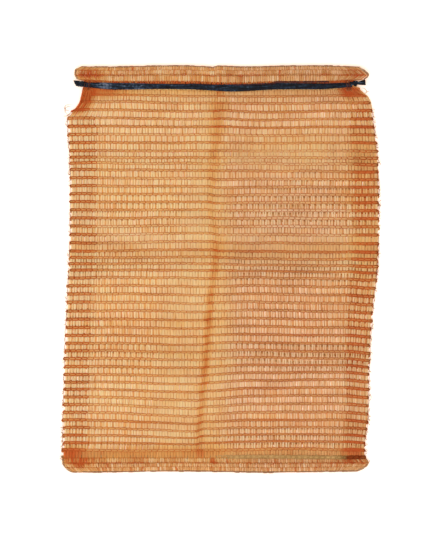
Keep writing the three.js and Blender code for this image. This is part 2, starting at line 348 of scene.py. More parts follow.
# a link of chain: one loop of tape, narrow where it leaves the last loop and round at its head
link = {
    "pitch": 8.4, "length": 8.9, "footWidth": 1.6, "headWidth": 1.7, "tape": 0.32, "thickness": 0.26,
    "tilt": 0.15, "section": 0.2, "sides": 4, "steps": 8, "square": 0.4, "seamWidth": 0.92, "seamTape": 2.1,
    "stretchStray": 0.05, "widthStray": 0.06, "lean": 0.03, "stepStray": 0.04,
}


def linkTemplate():  # a ring from a spun section
    bm = bmesh.new()
    ring = bmesh.ops.create_circle(bm, segments=link["sides"], radius=link["section"])
    for v in ring["verts"]:
        v.co = (1.0 + v.co.x, 0.0, v.co.y)
    bmesh.ops.spin(bm, geom=bm.edges[:], cent=(0, 0, 0), axis=(0, 0, 1), angle=2 * math.pi,
                   steps=link["steps"], use_merge=True)
    return templateOf(bm)


def linkOffsets(size, stretch, fat, full):  # the points of links round their middles: forward, across, up
    points, quads = linkTemplate()
    turn = np.arctan2(points[:, 1], points[:, 0])
    out = (np.hypot(points[:, 0], points[:, 1]) - 1.0) / link["section"]
    up = points[:, 2] / link["section"]
    along = 0.5 - 0.5 * np.cos(turn)  # 0 at the foot, 1 at the head
    width = blend(size["footWidth"], size["headWidth"], along)
    tape = out * size["tape"] * full[:, None]
    sideways = np.sign(np.sin(turn)) * np.abs(np.sin(turn)) ** link["square"]
    across = sideways * width * fat[:, None] + np.sin(turn) * tape
    forward = (along - 0.5) * size["length"] * stretch[:, None] - np.cos(turn) * tape
    lift = size["tilt"] * (2.0 * along - 1.0) + up * size["thickness"]
    return forward, across, lift, quads


def placeLinks(u, distance, layer, random, scale=1.0, heads=1.0):  # heads is 1 to the right and -1 to the left
    count = len(u)
    distance = np.broadcast_to(distance, count)
    stretch = 1.0 + draws(random, link["stretchStray"], count)
    fat = scale * (1.0 + draws(random, link["widthStray"], count))
    inSeam = seamShare(u, distance)
    fat = fat * blend(1.0, link["seamWidth"], inSeam)
    forward, across, lift, quads = linkOffsets(link, stretch, fat, blend(1.0, link["seamTape"], inSeam))
    lean = draws(random, link["lean"], count)[:, None]
    pointU = u[:, None] + heads * forward / knitWidth
    pointD = distance[:, None] + across + lean * forward
    return layAt(pointU, pointD, layer, lift), quads


# the core of a row: flat tape that runs on under the loops of its chain
core = {"width": 3.4, "thickness": 0.16, "lift": -0.12, "cuts": 63, "tone": 0.44,
        "seamWidth": 1.4, "seamTone": 0.1}


def placeCore(fromU, toU, lineOf, layer):
    points, quads = barTemplate(core["cuts"])
    u = blend(fromU, toU, points[:, 0] + 0.5)
    distance = lineOf(u)
    inSeam = seamShare(u, distance)
    width = core["width"] * blend(1.0, core["seamWidth"], inSeam) * broadAt(u, distance)
    lift = core["lift"] + points[:, 2] * core["thickness"]
    placed = layAt(u, distance + points[:, 1] * width, layer, lift)
    return placed[None], quads, core["tone"] + core["seamTone"] * inSeam, u


# an inlay pass: a flat tape that crosses from one chain to the next, two for each stitch
inlay = {
    "pitch": 4.2, "width": 3.1, "endWidth": 2.6, "thickness": 0.22,
    "slant": 0.3, "slantStray": 0.14, "stray": 0.14, "bow": 0.16, "widthStray": 0.1, "belly": 0.15,
    "twist": 0.12, "twistEven": 0.4, "twistPhase": 0.5, "twistRise": 0.7,
    "under": -0.35, "endTone": 0.3, "over": 1.2, "cuts": 2, "inner": 1.74, "endFrom": 0.4,
}


def passTemplate():  # a bar with its two cuts moved out to where the chains hold it
    points, quads = barTemplate(inlay["cuts"])
    points[:, 0] *= np.where(np.abs(points[:, 0]) < inlay["endFrom"], inlay["inner"], 1.0)
    return points, quads


def placePasses(u, fromD, toD, layer, random, lift=inlay["under"], narrow=1.0, drawn=0.0):
    points, quads = passTemplate()
    t = points[:, 0] + 0.5
    count = len(u)
    slant = inlay["slant"] * byTurns(count) + draws(random, inlay["slantStray"], count)
    aside = drawn + draws(random, inlay["stray"], count)
    bow = draws(random, inlay["bow"], count)
    wide = 1.0 + draws(random, inlay["widthStray"], count)
    twist = draws(random, inlay["twist"], count)
    belly = np.sin(math.pi * t)
    tapeWidth = blend(inlay["endWidth"], inlay["width"], belly)
    angle = twist[:, None] * blend(inlay["twistEven"], 1.0, np.sin(math.pi * t + inlay["twistPhase"]))
    flat = points[:, 1] * narrow * tapeWidth * wide[:, None]
    x = slant[:, None] * (2.0 * t - 1.0) + aside[:, None] + bow[:, None] * belly + flat * np.cos(angle)
    rise = inlay["belly"] * belly + flat * np.sin(angle) * inlay["twistRise"]
    rise = rise + points[:, 2] * inlay["thickness"] + lift
    fromD, toD = (np.broadcast_to(distance, count)[:, None] for distance in (fromD, toD))
    return layAt(u[:, None] + x / knitWidth, blend(fromD, toD, t), layer, rise), quads


def passShade():  # a pass is deeper in colour where it runs into the chains
    points, _ = passTemplate()
    return inlay["endTone"] * (np.abs(points[:, 0]) > inlay["endFrom"])


# a loose strand: a thin filament from one point to another, bowed sideways and arched up
strand = {"cuts": 6, "taper": 0.5, "taperPower": 4, "toneStray": 0.1, "seed": 21}


def placeStrands(start, end, bow, arch, width, thickness):
    points, quads = barTemplate(strand["cuts"])
    t = (points[:, 0] + 0.5)[None, :, None]
    way = end - start
    run = np.hypot(way[:, 0], way[:, 1])
    across = np.stack([-way[:, 1] / run, way[:, 0] / run, 0.0 * run], axis=-1)
    bow, arch, width, thickness = (np.broadcast_to(size, len(way))[:, None, None]
                                   for size in (bow, arch, width, thickness))
    belly = np.sin(math.pi * t)
    taper = 1.0 - strand["taper"] * np.abs(2.0 * t - 1.0) ** strand["taperPower"]
    sideways = bow * belly + points[None, :, 1:2] * width * taper
    placed = start[:, None, :] + way[:, None, :] * t + across[:, None, :] * sideways
    placed[..., 2:3] += arch * belly + points[None, :, 2:3] * thickness * taper
    placed[..., 2] = np.maximum(placed[..., 2], lie["floor"])
    return placed, quads


# how deep the orange runs, on top of each strand's own tone; a patch is x, distance, two reaches and a tone
depth = {
    # bands across the sack: distance, reach, and tone at the left and at the right
    "bands": ((39, 9, 0.28, 0.22), (57, 13, 0.06, 0.05), (131, 12, 0.03, 0.0), (272, 24, 0.12, 0.13),
              (376, 16, 0.07, 0.03), (421, 12, 0.07, 0.04), (527, 14, 0.09, 0.05), (558, 9, 0.1, 0.1)),
    "right": 0.09, "leftNeck": 0.87, "neckFrom": (28.0, 34.0), "neckTo": (63.0, 76.0), "neckIn": (6.0, 26.0),
    "leftSeam": 0.05, "rightSeam": 0.11, "seamIn": (32.0, 39.0), "edge": -0.12, "edgeIn": (0.0, 7.0),
    "low": (0.46, 0.28), "lowFrom": (562.0, 567.0),
    "patches": ((192, 37, 26, 17, 0.75), (-172, 35, 64, 16, 0.55), (-2, 41, 10, 7, 0.4),
                (-222, 571, 34, 18, 0.35), (196, 570, 32, 15, 0.35), (212, 160, 50, 130, 0.15),
                (-110, 400, 130, 120, 0.09)),
    "most": 1.04, "mostChain": 1.06,
    "tips": (0.12, 0.22), "tipIn": (0.5, 4.5),  # the ends of the rows, at the left and at the right
}


def patchTone(x, distance, patches):  # the sum of all patches
    tone = 0.0
    for atX, atD, reachX, reachD, amount in patches:
        tone = tone + amount * bump(np.hypot((x - atX) / reachX, (distance - atD) / reachD), 0.0, 1.0)
    return tone


def toneAt(placed, creased=1.0):  # creased is the share of the crease's colour
    x, distance = placeOf(placed)
    wiggle = crease["wiggle"] * np.sin(distance / crease["wiggleLength"])
    fromFold = np.abs(x - foldLine(distance) - wiggle) / through(crease["reach"], distance)
    tone = through(crease["depth"], distance) * bump(fromFold, 0.0, 1.0)
    fine, coarse = crease["fleckLengths"]
    tone = creased * tone * smoothStep(distance, *lie["bodyFrom"])
    tone = tone * (1.0 + crease["fleck"] * np.sin(distance / fine) * np.sin(distance / coarse))
    for atD, reach, left, right in depth["bands"]:
        tone = tone + sideBlend(x, left, right) * bump(distance, atD, reach)
    neck = smoothStep(distance, *depth["neckFrom"]) * fadeOut(distance, *depth["neckTo"])
    fromLeft, fromRight = fromEdges(x, distance)
    tone = tone + neck * depth["leftNeck"] * fadeOut(fromLeft, *depth["neckIn"])
    tone = tone + depth["leftSeam"] * fadeOut(fromLeft, *depth["seamIn"])
    tone = tone + depth["rightSeam"] * fadeOut(fromRight, *depth["seamIn"])
    tone = tone + depth["edge"] * fadeOut(np.minimum(fromLeft, fromRight), *depth["edgeIn"])
    return tone + patchTone(x, distance, depth["patches"]) + sideBlend(x, 0.0, depth["right"])


def lowTone(placed):  # the net between the last row and the cord is deeper in colour
    x, distance = placeOf(placed)
    return sideBlend(x, *depth["low"]) * smoothStep(distance, *depth["lowFrom"])


def tipTone(placed):  # the rows' ends are darker
    ends = zip(depth["tips"], fromEdges(*placeOf(placed)))
    return sum(amount * fadeOut(inside, *depth["tipIn"]) for amount, inside in ends)


# how rosy the net is, yellower where it is less; patches as above
rosiness = {
    "sides": (0.2, 0.75),
    "patches": ((-208, 340, 40, 300, 0.15), (212, 250, 52, 330, -0.5), (-8, 300, 34, 420, -0.55),
                (-100, 200, 120, 70, -0.2), (110, 215, 120, 60, 0.05), (-100, 480, 120, 60, -0.15),
                (110, 420, 150, 130, 0.25), (110, 115, 150, 80, -0.55), (-110, 10, 170, 18, 0.5),
                (-206, 12, 22, 13, 0.6), (206, 12, 20, 13, 0.7), (110, 10, 170, 18, 0.3),
                (-110, 591, 170, 15, 0.5), (110, 591, 170, 15, 0.3), (0, 568, 260, 9, -0.4)),
}


def rosyAt(placed):
    x, distance = placeOf(placed)
    return sideBlend(x, *rosiness["sides"]) + patchTone(x, distance, rosiness["patches"])


def stray(random, placed, amount):  # one draw for each strand
    return draws(random, amount, len(placed))[:, None]


def stitchesAcross(fromU, toU, random):  # places of the links along a row
    count = max(int(round((toU - fromU) * knitWidth / link["pitch"])), 1)
    step = (toU - fromU) / count
    return fromU + step * (np.arange(count) + 0.5) + draws(random, link["stepStray"] * step, count)


def passesAcross(fromU, toU, phase, closer=1.0):  # places of the passes between two rows
    step = inlay["pitch"] * closer / knitWidth
    count = int((toU - fromU) / step)
    return fromU + step * (np.arange(count + 1) + phase)[: count + (1 if phase < 0.5 else 0)]


netBody = {
    "chainTone": 1.06, "inlayTone": 0.1, "toneStray": 0.08, "passStray": 0.08, "rowTone": 0.07,
    "rowOut": 0.0, "rowStray": 0.0022, "passIn": (0.004, 0.0055), "passInStray": 0.003, "shiftStray": 0.3,
    "waver": 0.32, "waverLength": (70.0, 230.0), "rowWave": 0.05, "endLink": 0.009, "lastPass": 576.5,
    "neckIn": 0.002, "neckTo": 60.0, "neckLine": 32.0, "neckEnds": 0.2, "neckSpans": 4,
    "faint": 0.1, "faintAt": 28.0, "faintReach": 34.0,  # the rows are fainter beside the crease
    # by x: how far passes are drawn into pairs, with windows between them, and how wide they are
    "windows": [(-226, 0.48), (0, 0.48), (75, 0.5), (226, 0.55)],
    "slim": [(-226, 0.97), (20, 1.0), (75, 0.87), (226, 0.87)],
    # beside the crease the passes lie close and even: reach to the left and right of it by distance
    "calmLeft": [(120, 25), (330, 75)], "calmRight": [(120, 14), (330, 40)], "calmEdge": (0.6, 1.4),
    "calmStray": 0.55, "calmTone": 0.11,
    # where the windows close: distance, reach, and how far at the left and at the right
    "closed": ((40, 24, 1.0, 1.0), (133, 55, 0.3, 1.0), (274, 52, 0.6, 1.0), (577, 10, 1.0, 1.0)),
    "closedWide": 0.46,
    # patches where the rows are paler, where pale cores show between the loops and where the rows are broader
    "paler": ((100, 130, 170, 36, 0.3), (-110, 131, 90, 20, 0.1), (212, 130, 50, 24, 0.3),
              (100, 215, 150, 60, 0.06), (110, 430, 130, 130, -0.12)),
    "paleCores": ((110, 218, 150, 62, 0.32), (-110, 250, 120, 40, 0.2)),
    "broad": ((100, 215, 170, 62, 0.32), (-55, 400, 65, 260, -0.2)),
    # each layer with its seed, its passes' shift, width and tone, and its share of the front's looks; the tone
    # is painted shading: the back's passes are painted deeper for the shade they lie in under the front, the
    # front's a little paler for the light on them
    "layers": (("front", 11, 0.0, 0.93, -0.06, 1.0), ("back", 12, 0.3, 1.25, 0.15, 0.0)), "backShare": 0.25,
}


def wavering(random, size):  # a slow wave of its own for each row, as a function of row and u
    height = draws(random, size, rows["count"])
    length = random.uniform(*netBody["waverLength"], rows["count"])
    phase = random.random(rows["count"])
    return lambda row, u: height[row] * np.sin(2 * math.pi * (u * knitWidth / length[row] + phase[row]))


def broadAt(u, distance):
    return 1.0 + patchTone(knitX(u), distance, netBody["broad"])


def joinNet(name, parts, toneOf, most=depth["most"]):
    placed, quads = gather(parts)
    return joinCopies(name, quads, placed, np.minimum(toneOf(placed), most))


def netRows(layer, random, waver, shade):  # chains and cores of the rows, with a tone for each
    chains, cores, chainTone, coreTone = [], [], [], []
    for row, line in enumerate(rowLines):
        inward = netBody["neckIn"] if line < netBody["neckTo"] else netBody["rowOut"]
        fromU, short = inward + draws(random, netBody["rowStray"], 2)
        toU = 1.0 - short
        u = stitchesAcross(fromU, toU, random)
        chains.append(placeLinks(u, line + waver(row, u), layer, random, broadAt(u, line)))
        first = np.array([netBody["endLink"] + fromU])  # one link turned round, so that both ends are blunt
        chains.append(placeLinks(first, line + waver(row, first), layer, random, 1.0, -1.0))
        own = netBody["rowTone"] * random.standard_normal()
        chainTone.append(own + shade(row, np.append(u, first)))
        placed, quads, tone, u = placeCore(fromU, toU, lambda u: line + waver(row, u), layer)
        cores.append((placed, quads))
        coreTone.append((tone + own + shade(row, u))[None])
    return chains, cores, np.concatenate(chainTone)[:, None], np.concatenate(coreTone)


def netPasses(layer, random, waver, phase, wide, front):  # the passes between rows, and how calm each one lies
    lines = [(sack["tapeLine"], None), (netBody["neckLine"], None)]
    lines += [(line, row) for row, line in enumerate(rowLines)] + [(netBody["lastPass"], None)]
    passes, calm = [], []
    for span, between in enumerate(zip(lines, lines[1:])):
        shift = phase + random.uniform(0.0, netBody["shiftStray"])
        ends = np.array(netBody["passIn"]) + netBody["passInStray"] * random.random(2)
        ends = ends * (netBody["neckEnds"] if span < netBody["neckSpans"] else 1.0)
        u = np.append(passesAcross(ends[0], 1.0 - ends[1], shift), 1.0 - ends[1])
        fromD, toD = (line + (0.0 * u if row is None else waver(row, u)) for line, row in between)
        x = knitX(u)
        drawn = front * byTurns(len(u), random.integers(2)) * levelAt(netBody["windows"], x)
        shut = np.max([sideBlend(x, left, right) * bump(toD[0], at, reach)
                       for at, reach, left, right in netBody["closed"]], axis=0)
        fromFold = x - foldLine(toD)
        left, right = levelAt(netBody["calmLeft"], toD), levelAt(netBody["calmRight"], toD)
        beside = fromFold / np.where(fromFold < 0.0, -left, right)
        shut = np.maximum(shut, fadeOut(beside, *netBody["calmEdge"]))
        calm.append(shut)
        wider = blend(levelAt(netBody["slim"], x) - 1.0, netBody["closedWide"], shut)
        narrow = wide * (1.0 + front * wider)[:, None]
        passes.append(placePasses(u, fromD - inlay["over"], toD + inlay["over"], layer, random, inlay["under"],
                                  narrow, drawn * (1.0 - shut)))
    return passes, np.concatenate(calm)[:, None]


def netLayer(layer, seed, phase, wide, deeper, front):
    random = np.random.default_rng(seed)
    creased = max(front, netBody["backShare"])
    waver = wavering(random, netBody["waver"])
    shade = wavering(random, netBody["rowWave"])
    chains, cores, chainTone, coreTone = netRows(layer, random, waver, shade)
    passes, calm = netPasses(layer, random, waver, phase, wide, front)

    placed, quads = gather(chains)
    x, distance = placeOf(placed)
    tone = netBody["chainTone"] + toneAt(placed, creased) + stray(random, placed, netBody["toneStray"])
    tone = tone - netBody["faint"] * bump(x - foldLine(distance), netBody["faintAt"], netBody["faintReach"])
    tone = tone - patchTone(x, distance, netBody["paler"]) + chainTone
    tone = np.minimum(tone, depth["mostChain"]) + tipTone(placed)
    joined = [joinCopies(layer + "Chains", quads, placed, tone)]

    def passTone(placed):
        # deeper is painted shading: the back layer darker for its shade, the front a little paler for its light
        tone = netBody["inlayTone"] + deeper + netBody["calmTone"] * calm
        tone = tone + passShade() + creased * lowTone(placed)
        uneven = stray(random, placed, netBody["passStray"]) * (1.0 - netBody["calmStray"] * calm)
        return tone + toneAt(placed, creased * crease["passes"]) + uneven

    def paleTone(placed):
        pale = patchTone(*placeOf(placed), netBody["paler"] + netBody["paleCores"])
        return coreTone + toneAt(placed, creased) - pale

    return joined + [joinNet(layer + "Inlay", passes, passTone), joinNet(layer + "Cores", cores, paleTone)]


netPieces = []
for plan in netBody["layers"]:
    netPieces += netLayer(*plan)
print("net layers", sum(len(p.data.polygons) for p in netPieces) * 2, "triangles")

# two more layers lie inside the side seams: the turned-in edges of the net
seamNet = {"chainTone": 0.72, "inlayTone": 0.04, "toneStray": 0.06, "seed": 13, "scale": 1.05,
           "reachStray": 0.02, "narrow": 0.45, "wider": 2.0,
           "layers": (("seamFront", 1.0, 0.25), ("seamBack", -1.0, 0.75))}  # with offsets of rows and of passes


def seamStrips():
    random = np.random.default_rng(seamNet["seed"])
    chains, passes = [], []
    for layer, offset, phase in seamNet["layers"]:
        for atRight in (False, True):
            for line in [line for line in rowLines if line > netBody["neckTo"]]:
                uneven = 1.0 + seamNet["reachStray"] * random.standard_normal()
                u = stitchesAcross(netBody["rowOut"], float(seamReach(line, atRight)) * uneven, random)
                u, heads = (1.0 - u, 1.0) if atRight else (u, -1.0)
                chains.append(placeLinks(u, line + offset, layer, random, seamNet["scale"], heads))
            for fromLine, toLine in zip([sack["neckEnd"]] + rowLines[:-1], rowLines):
                reach = float(seamReach(0.5 * (fromLine + toLine), atRight))
                u = passesAcross(netBody["passIn"][0], reach, phase, seamNet["wider"])
                u = 1.0 - u if atRight else u
                passes.append(placePasses(u, fromLine, toLine, layer, random, 0.0, seamNet["narrow"]))

    def chainTone(placed):
        tone = seamNet["chainTone"] + toneAt(placed) + stray(random, placed, seamNet["toneStray"])
        return tone - patchTone(*placeOf(placed), netBody["paler"])

    def passTone(placed):
        return seamNet["inlayTone"] + passShade() + toneAt(placed) + stray(random, placed, seamNet["toneStray"])

    return [joinNet("seamChains", chains, chainTone), joinNet("seamInlay", passes, passTone)]


netPieces += seamStrips()
print("side seams done")

# the folded hem and the rolled bottom: net over the fold, front and back, with its turned-in edge inside
folded = {"passEnds": (0.002, 0.998), "toneStray": 0.16, "lineStray": 0.4, "lift": -0.2}
foldedEnds = [  # a span of passes is from, to, how many layers have it, how narrow, how close and its tone
    {"name": "hem", "seed": 14, "layers": ("front", "back", "hemInner"), "chainLine": 13.0,
     "spans": ((0.5, 6.5, 3, 0.75, 0.8, 0.38), (6.0, 13.0, 3, 0.75, 0.8, 0.33),
               (13.0, 21.0, 3, 0.75, 0.8, 0.38), (19.8, 27.4, 2, 0.95, 0.9, 0.98)),
     "chainEnds": (0.02, 0.98), "chainTone": 0.74, "chainScale": 0.7,
     "patches": ((-192, 13, 34, 12, 0.6), (197, 12, 30, 12, 0.45), (155, 11, 11, 7, 0.45))},
    {"name": "roll", "seed": 15, "layers": ("front", "back", "rollInner"), "chainLine": 585.0,
     "spans": ((576.5, 585.0, 3, 0.75, 0.8, 0.4), (585.0, 592.5, 3, 0.75, 0.8, 0.37),
               (592.0, 599.4, 3, 0.75, 0.8, 0.4)),
     "chainEnds": (0.01, 0.99), "chainTone": 0.82, "chainScale": 0.8,
     "patches": ((-206, 578, 46, 14, 0.5), (-208, 588, 20, 10, 0.45), (196, 579, 40, 12, 0.45),
                 (-10, 583, 9, 7, 0.4))},
]


def foldedEnd(end):
    random = np.random.default_rng(end["seed"])
    chains, passes, tones = [], [], []
    for order, layer in enumerate(end["layers"]):
        u = stitchesAcross(*end["chainEnds"], random)
        line = end["chainLine"] + draws(random, folded["lineStray"], len(u))
        chains.append(placeLinks(u, line, layer, random, end["chainScale"]))
        for fromLine, toLine, count, narrow, closer, tone in end["spans"]:
            if order < count:
                first, last = folded["passEnds"]
                u = np.concatenate([[first], passesAcross(first, last, random.random(), closer), [last]])
                passes.append(placePasses(u, fromLine, toLine, layer, random, folded["lift"], narrow))
                tones.append(np.full(len(u), tone))

    def toneOf(placed):
        return patchTone(*placeOf(placed), end["patches"]) + stray(random, placed, folded["toneStray"])

    own = np.concatenate(tones)[:, None] + passShade()
    return [joinNet(end["name"] + "Chains", chains, lambda placed: end["chainTone"] + toneOf(placed)),
            joinNet(end["name"] + "Inlay", passes, lambda placed: own + toneOf(placed))]


for end in foldedEnds:
    netPieces += foldedEnd(end)
print("hem and bottom roll done")

# the bound outline of hem and roll, from its side to its fold
outline = {"step": 8.0, "width": 2.2, "widthStray": 0.2, "thickness": 0.7, "bow": 0.25, "tone": 0.85,
           "in": 0.0015, "turn": 6, "lift": -0.3, "overlap": 0.12, "folds": ((19.0, 0.7), (578.0, 599.3))}


def outlineStrands(random):  # down or up one side, along the fold and back on the other side
    starts, ends = [], []
    for fromD, toD in outline["folds"]:
        turnD = np.linspace(fromD, toD, outline["turn"])
        left = layAt(outline["in"], turnD, "front", outline["lift"])
        across = layAt(np.linspace(0.0, 1.0, int(knitWidth / outline["step"])), toD, "front")
        right = layAt(1.0 - outline["in"], turnD[::-1], "front", outline["lift"])
        points = np.concatenate([left, across[1:-1], right])
        starts.append(points[:-1])
        ends.append(points[1:])
    start, end = np.concatenate(starts), np.concatenate(ends)
    over = outline["overlap"] * (end - start)
    bow = draws(random, outline["bow"], len(start))
    width = outline["width"] * (1.0 + draws(random, outline["widthStray"], len(start)))
    return [placeStrands(start - over, end + over, bow, 0.0, width, outline["thickness"])], outline["tone"]


# the net drawn together below the knots, on the front and on the back
gathers = {
    "top": (28.0, 36.0), "pinch": 11.0, "width": 0.8, "widths": (0.6, 1.2), "thickness": 0.3, "tone": 0.95,
    "lift": 0.3, "bow": 0.9, "crowding": 1.5,
    # each side with its way inward, how many, where their lower ends lie, how far spread and how far inside
    "sides": ((leftSide, 1.0, 16, (40.0, 66.0), 20.0, 0.5), (rightSide, -1.0, 10, (36.0, 48.0), 14.0, 5.0)),
}


def neckStrands(random):
    sets = []
    for side, inward, many, low, spread, inset in gathers["sides"]:
        for layer in ("front", "back"):
            share = (np.arange(many) + random.random(many)) / many
            topD = random.uniform(*gathers["top"], many)
            lowD = random.uniform(*low, many)
            topX = side["pinch"] + inward * gathers["pinch"] * share
            lowX = edgeLine(side, lowD) + inward * (inset + spread * share ** gathers["crowding"])
            ends = [layAt(uAt(x, d), d, layer, gathers["lift"]) for x, d in ((topX, topD), (lowX, lowD))]
            bow = draws(random, gathers["bow"], many)
            width = gathers["width"] * random.uniform(*gathers["widths"], many)
            sets.append(placeStrands(*ends, bow, 0.0, width, gathers["thickness"]))
    return sets, gathers["tone"]


# strands of net that lie over the ends of the front tape, and dark strands along the lower edge of the hem that
# paint the shadow under it
overTape = {
    "count": 6, "reach": (1.0, 10.0), "slant": 5.0, "from": 20.5, "to": 36.0, "lift": 0.1, "bow": 0.8,
    "arch": 1.9, "arches": (0.9, 1.15), "width": (0.25, 0.45), "thickness": 0.4, "tone": 0.5,
    "paintedShadow": ((-46, 82, 23.6, 0.9), (78, 160, 21.3, 2.4)),  # from x, to x, distance and width
    "paintedShadowStep": 14.0, "paintedShadowLift": 0.9, "paintedShadowThickness": 0.3, "paintedShadowTone": 1.0,
}


def overStrands(random):
    sets = []
    many = overTape["count"]
    for side, inward in ((leftSide, 1.0), (rightSide, -1.0)):
        upper = side["pinch"] + inward * random.uniform(*overTape["reach"], many)
        lower = upper - inward * random.uniform(0.0, overTape["slant"], many)
        ends = [layAt(uAt(x, d), d, "front", overTape["lift"])
                for x, d in ((upper, overTape["from"]), (lower, overTape["to"]))]
        bow = draws(random, overTape["bow"], many)
        arch = overTape["arch"] * random.uniform(*overTape["arches"], many)
        width = random.uniform(*overTape["width"], many)
        sets.append(placeStrands(*ends, bow, arch, width, overTape["thickness"]))
    # painted shadow: dark strands along the hem's lower edge, where the hem shades the net just above the tape
    for fromX, toX, distance, width in overTape["paintedShadow"]:
        x = np.linspace(fromX, toX, int((toX - fromX) / overTape["paintedShadowStep"]))
        points = layAt(uAt(x, distance), distance, "front", overTape["paintedShadowLift"])
        sets.append(placeStrands(points[:-1], points[1:], 0.0, 0.0, width, overTape["paintedShadowThickness"]))
    over = np.arange(sum(len(placed) for placed, _ in sets)) < 2 * many
    return sets, np.where(over, overTape["tone"], overTape["paintedShadowTone"])[:, None]


# thread that runs on from the end of one row to the next
edgeLoop = {"share": 0.85, "fromRow": 2, "lift": -0.5, "out": 1.2, "outs": (0.1, 1.2), "width": (0.45, 0.8),
            "thickness": 0.35, "tone": 0.8}
bothEdges = ((0.0, -1.0), (1.0, 1.0))  # u of the edge and the way out


def loopStrands(random):
    sets = []
    for u, out in bothEdges:
        between = range(edgeLoop["fromRow"], rows["count"] - 1)
        chosen = [k for k in between if random.random() < edgeLoop["share"]]
        lines = [np.array([rowLines[k + on] for k in chosen]) for on in (0, 1)]
        ends = [layAt(u, line, "front", edgeLoop["lift"]) for line in lines]
        bow = out * edgeLoop["out"] * random.uniform(*edgeLoop["outs"], len(chosen))
        width = random.uniform(*edgeLoop["width"], len(chosen))
        sets.append(placeStrands(*ends, bow, 0.0, width, edgeLoop["thickness"]))
    return sets, edgeLoop["tone"]


# cut ends and fluff along the sides
wisp = {
    "count": 130, "along": (60.0, 590.0), "lift": -0.6, "out": (0.5, 4.5), "down": (-4.0, 4.0),
    "rise": (-1.0, 0.5), "bow": 1.2, "width": (0.35, 0.8), "thickness": 0.25, "tone": 1.0,
    # loose threads at the shoulders: from x and distance, to x and distance, and bow
    "fallen": ((-217, 57, -226, 72, -9), (-220, 60, -229, 71, -5), (-223, 66, -231, 61, 2),
               (-222, 70, -232, 74, 2), (213, 41, 219, 38, 1), (209, 33, 216, 40, 2)),
    "fallenHeights": (1.5, 0.6), "fallenWidth": 0.5, "fallenThickness": 0.3,
}


def wispStrands(random):
    sets = []
    many = wisp["count"]
    for u, out in bothEdges:
        start = layAt(u, random.uniform(*wisp["along"], many), "front", wisp["lift"])
        way = [random.uniform(*wisp[key], many) for key in ("out", "down", "rise")]
        end = start + np.stack([out * way[0], way[1], way[2]], axis=-1)
        bow = draws(random, wisp["bow"], many)
        width = random.uniform(*wisp["width"], many)
        sets.append(placeStrands(start, end, bow, 0.0, width, wisp["thickness"]))
    fromX, fromD, toX, toD, bow = np.array(wisp["fallen"], float).T
    high, low = wisp["fallenHeights"]
    start = np.stack([fromX, flip(fromD), 0.0 * fromX + high], axis=-1)
    end = np.stack([toX, flip(toD), 0.0 * toX + low], axis=-1)
    sets.append(placeStrands(start, end, bow, 0.0, wisp["fallenWidth"], wisp["fallenThickness"]))
    return sets, wisp["tone"]


def strandPieces():
    random = np.random.default_rng(strand["seed"])
    makers = {"foldOutlines": outlineStrands, "neckGathers": neckStrands, "strandsOverTapeAndShadow": overStrands,
              "edgeLoops": loopStrands, "edgeWisps": wispStrands}
    pieces = []
    for name, make in makers.items():
        sets, tone = make(random)
        placed, quads = gather(sets)
        pieces.append(joinCopies(name, quads, placed, tone + stray(random, placed, strand["toneStray"])))
    return pieces


netPieces += strandPieces()
print("strands done")


def newPiece(name, bm):  # a bmesh in millimetres becomes a piece
    bmesh.ops.scale(bm, vec=(mm, mm, mm), verts=bm.verts)
    mesh = bpy.data.meshes.new(name)
    bm.to_mesh(mesh)
    bm.free()
    return smoothObject(name, mesh)


def shapedStrip(bm, grid, shape, thickness):  # a grid laid out by shape(t, side), then given a thickness
    made = bmesh.ops.create_grid(bm, x_segments=grid[0], y_segments=grid[1], size=0.5)
    faces = {f for v in made["verts"] for f in v.link_faces}
    for v in made["verts"]:
        v.co = shape(v.co.x + 0.5, 2.0 * v.co.y)
    bmesh.ops.recalc_face_normals(bm, faces=list(faces))
    made = bmesh.ops.solidify(bm, geom=list(faces), thickness=thickness)
    faces |= {g for g in made["geom"] if isinstance(g, bmesh.types.BMFace)}
    bmesh.ops.recalc_face_normals(bm, faces=list(faces))


def stripPiece(name, grid, shape, thickness, toneOf):  # a strip with a tone for each point from its x
    bm = bmesh.new()
    shapedStrip(bm, grid, shape, thickness)
    piece = newPiece(name, bm)
    places = np.zeros(len(piece.data.vertices) * 3, np.float32)
    piece.data.vertices.foreach_get("co", places)
    setAttribute(piece.data, "tone", toneOf(places[::3] / mm))
    return piece


# the drawstring: one flat tape on the front and one on the back, pleated lengthwise
tape = {
    "widths": [(0, 6.0), (0.04, 8.2), (0.1, 9.8), (0.18, 9.4), (0.25, 8.0), (0.36, 7.8), (0.46, 8.8),
               (0.55, 10.4), (0.62, 10.0), (0.75, 9.2), (0.85, 8.6), (0.95, 7.6), (1, 6.0)],
    "gap": 0.35, "thickness": 0.4, "grid": (150, 14), "wander": 0.3, "wanderWave": (9.0, 1.0), "edge": 0.25,
    "pleat": 0.32, "pleats": 2.6, "pleatWaves": ((2.2, 5.0, 0.0), (1.3, 17.0, 0.5)),  # size, rate and phase
    "front": 5.3, "back": 0.65, "backWider": 1.5, "backWidth": 9.4, "backUp": 0.8, "backHang": 0.3, "drop": 0.7,
    "paleAndHighlight": ((-171, 20, 0.3), (-120, 55, 0.16), (10, 30, 0.1), (-60, 20, 0.06)),  # x, reach and paleness: painted highlights on the tape, partly paler patches of it
}


